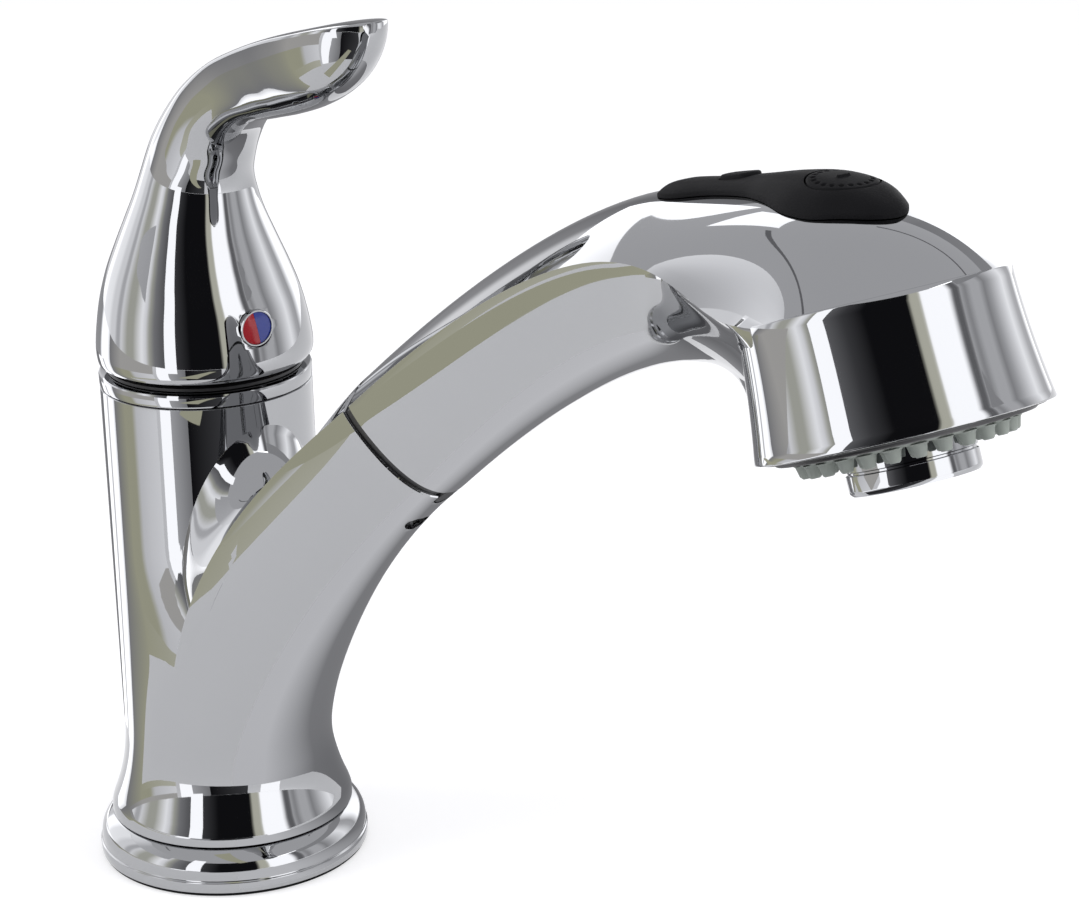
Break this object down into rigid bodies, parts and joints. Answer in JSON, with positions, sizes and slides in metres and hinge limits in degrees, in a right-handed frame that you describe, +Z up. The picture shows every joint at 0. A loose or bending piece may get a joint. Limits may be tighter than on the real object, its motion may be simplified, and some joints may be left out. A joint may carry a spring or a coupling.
{
  "type": "pull-out kitchen faucet",
  "caption": "A chrome single-lever kitchen mixer with a forward-leaning spout, a pull-out spray wand with a rubber thumb pad and buttons, and a lift-and-turn lever on top.",
  "frame": {"origin": "centre of the gasket's underside, on the deck plane and on the column's axis", "axes": "+X forward along the spout's reach, +Z up, +Y to the left seen from behind the column looking along +X"},
  "size_m": [0.2849, 0.0626, 0.2047],
  "materials": {
    "chrome": "polished electroplated chrome",
    "steel": "turned stainless steel",
    "brass": "machined raw brass",
    "copper_pipe": "drawn copper tube",
    "black_rubber": "moulded soft black rubber",
    "black_plastic": "moulded black acetal",
    "white_plastic": "moulded natural acetal",
    "grey_rubber": "moulded silicone",
    "red_plastic": "clear glossy red",
    "blue_plastic": "clear glossy blue"
  },
  "bodies": {
    "root": {"deck_gasket": "black_rubber", "deck_ring": "chrome", "mounting_base": "brass", "thrust_washer": "black_plastic", "lower_glide_ring": "white_plastic", "hot_supply_tube": "copper_pipe", "cold_supply_tube": "copper_pipe", "outlet_tube": "copper_pipe", "valve_body": "brass", "upper_glide_ring": "white_plastic", "cartridge_sleeve": "black_plastic", "bonnet_nut": "brass", "trim_ring": "chrome"},
    "spout": {"spout_body": "chrome", "dock_bushing": "black_plastic", "dock_screw": "steel"},
    "handle_turn": {"pivot_ring": "black_plastic", "hinge_pin": "steel"},
    "stem": {"cartridge_stem": "steel", "stem_seals": "black_rubber", "stem_cross_pin": "steel"},
    "handle_lift": {"handle_shell": "chrome", "handle_yoke": "black_plastic", "handle_screw": "steel", "button_bezel": "chrome", "hot_mark": "red_plastic", "cold_mark": "blue_plastic"},
    "wand": {"wand_shell": "chrome", "docking_collar": "black_plastic", "hose_nipple": "steel", "check_valve": "white_plastic", "waterway": "white_plastic", "head_core": "white_plastic", "rim_ring": "black_plastic", "spray_face": "grey_rubber", "aerator_housing": "chrome", "aerator_screen": "black_plastic", "thumb_pad": "black_rubber", "front_button_spring": "steel", "rear_button_spring": "steel"},
    "front_button": {"front_button": "black_rubber"},
    "rear_button": {"rear_button": "black_rubber"},
    "diverter": {"diverter_spool": "steel"}
  },
  "joints": [
    {"name": "spout_swivel", "type": "hinge", "parent": "root", "child": "spout", "pos_m": [0, 0, 0.06], "axis": [0, 0, 1], "range_deg": [-60, 60]},
    {"name": "handle_turn", "type": "hinge", "parent": "root", "child": "handle_turn", "pos_m": [0, 0, 0.12], "axis": [0, 0, 1], "range_deg": [-45, 45]},
    {"name": "handle_lift", "type": "hinge", "parent": "handle_turn", "child": "handle_lift", "pos_m": [-0.0185, 0, 0.1215], "axis": [0, -1, 0], "range_deg": [0, 16]},
    {"name": "stem_lift", "type": "slide", "parent": "handle_turn", "child": "stem", "axis": [0, 0, 1], "range_m": [0, 0.0056]},
    {"name": "wand_pull", "type": "slide", "parent": "spout", "child": "wand", "axis": [0.809, 0, 0.5878], "range_m": [0, 0.055]},
    {"name": "front_button_press", "type": "slide", "parent": "wand", "child": "front_button", "axis": [-0.1219, 0, -0.9925], "range_m": [0, 0.0015], "stiffness_N_per_m": 300, "deforming": ["front_button_spring"]},
    {"name": "rear_button_press", "type": "slide", "parent": "wand", "child": "rear_button", "axis": [0.225, 0, -0.9744], "range_m": [0, 0.0012], "stiffness_N_per_m": 300, "deforming": ["rear_button_spring"]},
    {"name": "diverter_slide", "type": "slide", "parent": "wand", "child": "diverter", "axis": [0.3496, 0, -0.9369], "range_m": [0, 0.0015]}
  ],
  "couplings": [
    {"joint": "stem_lift", "follows": "handle_lift", "m_per_rad": 0.0199},
    {"joint": "diverter_slide", "follows": "front_button_press", "ratio": 0.9}
  ]
}
